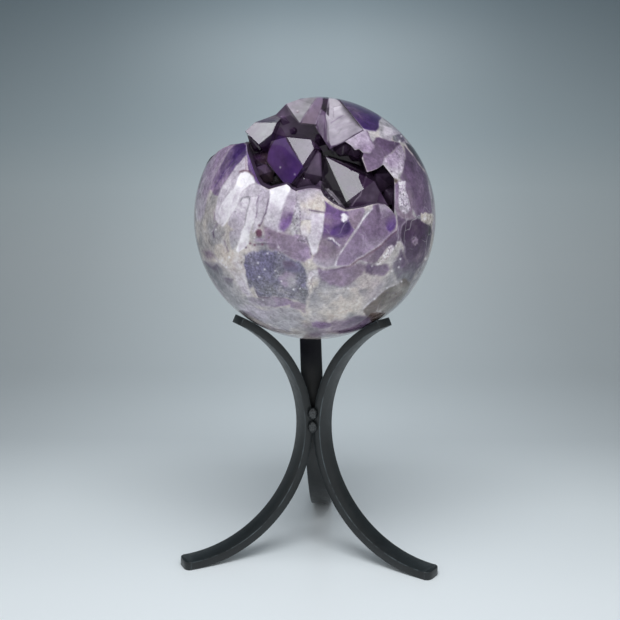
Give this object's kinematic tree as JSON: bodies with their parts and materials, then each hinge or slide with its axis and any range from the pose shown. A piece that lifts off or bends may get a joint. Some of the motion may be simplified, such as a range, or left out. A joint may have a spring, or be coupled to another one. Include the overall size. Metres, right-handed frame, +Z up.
{
  "type": "amethyst sphere on tripod stand",
  "caption": "Polished amethyst ball with an open crystal-lined hollow, resting on a black three-legged iron stand.",
  "frame": {"origin": "on the ground, under the middle of the object's bounding box", "axes": "+X to the right and +Y to the back as seen from the side of the hollow, +Z up"},
  "size_m": [0.1812, 0.1874, 0.3277],
  "materials": {
    "polished_amethyst": "polished",
    "amethyst_points": "glassy natural faces",
    "black_iron": "satin"
  },
  "bodies": {
    "root": {"amethyst_sphere": "polished_amethyst", "vug_crystals": "amethyst_points", "leg_left": "black_iron", "leg_right": "black_iron", "leg_back": "black_iron", "weld_front_upper": "black_iron", "weld_front_lower": "black_iron", "weld_side_left": "black_iron", "weld_side_right": "black_iron"}
  },
  "joints": []
}
